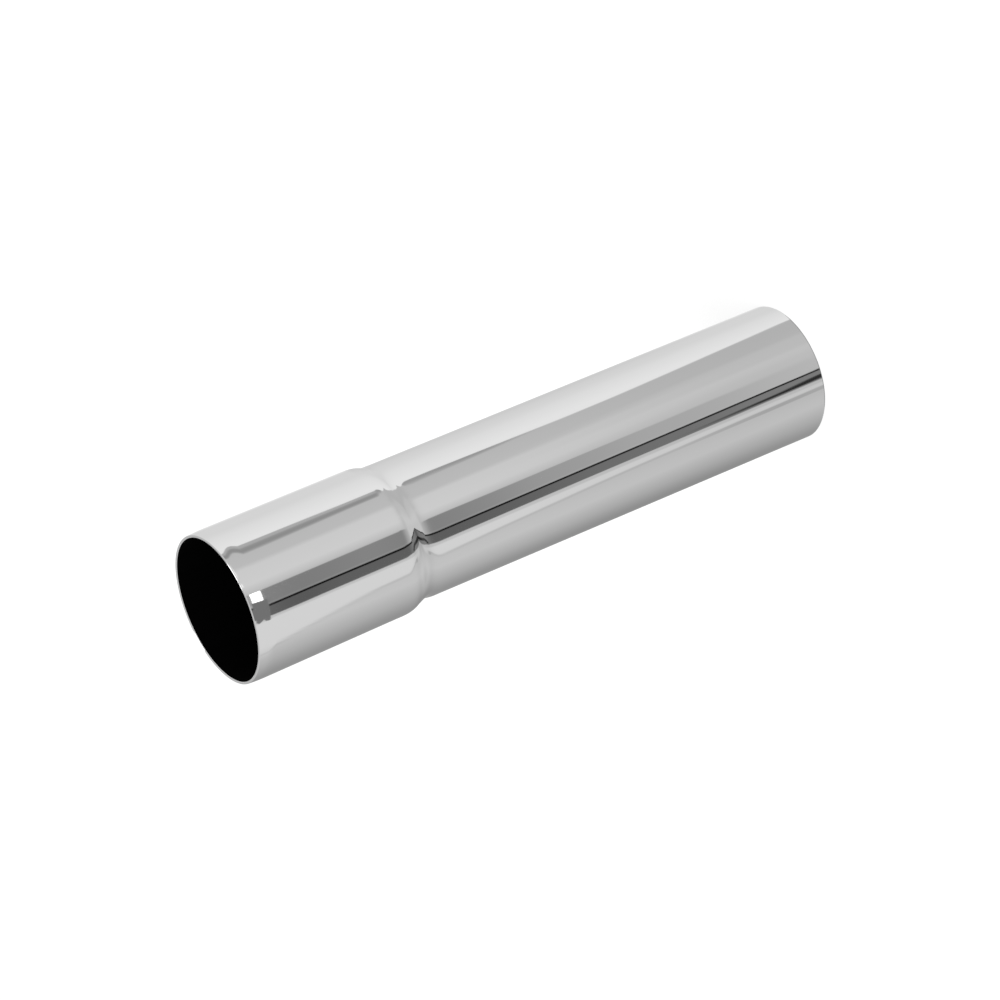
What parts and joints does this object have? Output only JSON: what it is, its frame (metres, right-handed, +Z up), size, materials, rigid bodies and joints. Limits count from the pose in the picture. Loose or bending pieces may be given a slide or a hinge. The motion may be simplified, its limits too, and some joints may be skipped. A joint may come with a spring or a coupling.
{
  "type": "drain extension tube",
  "caption": "Chrome-plated thin-walled drain extension tube with one end widened into a slip socket, to lengthen the waste pipe under a basin.",
  "frame": {"origin": "centre of the plain end, on the tube's axis, in the plane the tube stands on", "axes": "+Z up along the tube's axis from the plain end to the socket's mouth, as the tube is fitted under a basin; the picture is taken from the -Y side, looking down into the mouth"},
  "size_m": [0.034, 0.034, 0.1524],
  "materials": {
    "chrome_plated_brass": "polished chrome plate outside, bare metal inside"
  },
  "bodies": {
    "root": {"extension_tube": "chrome_plated_brass"}
  },
  "joints": []
}
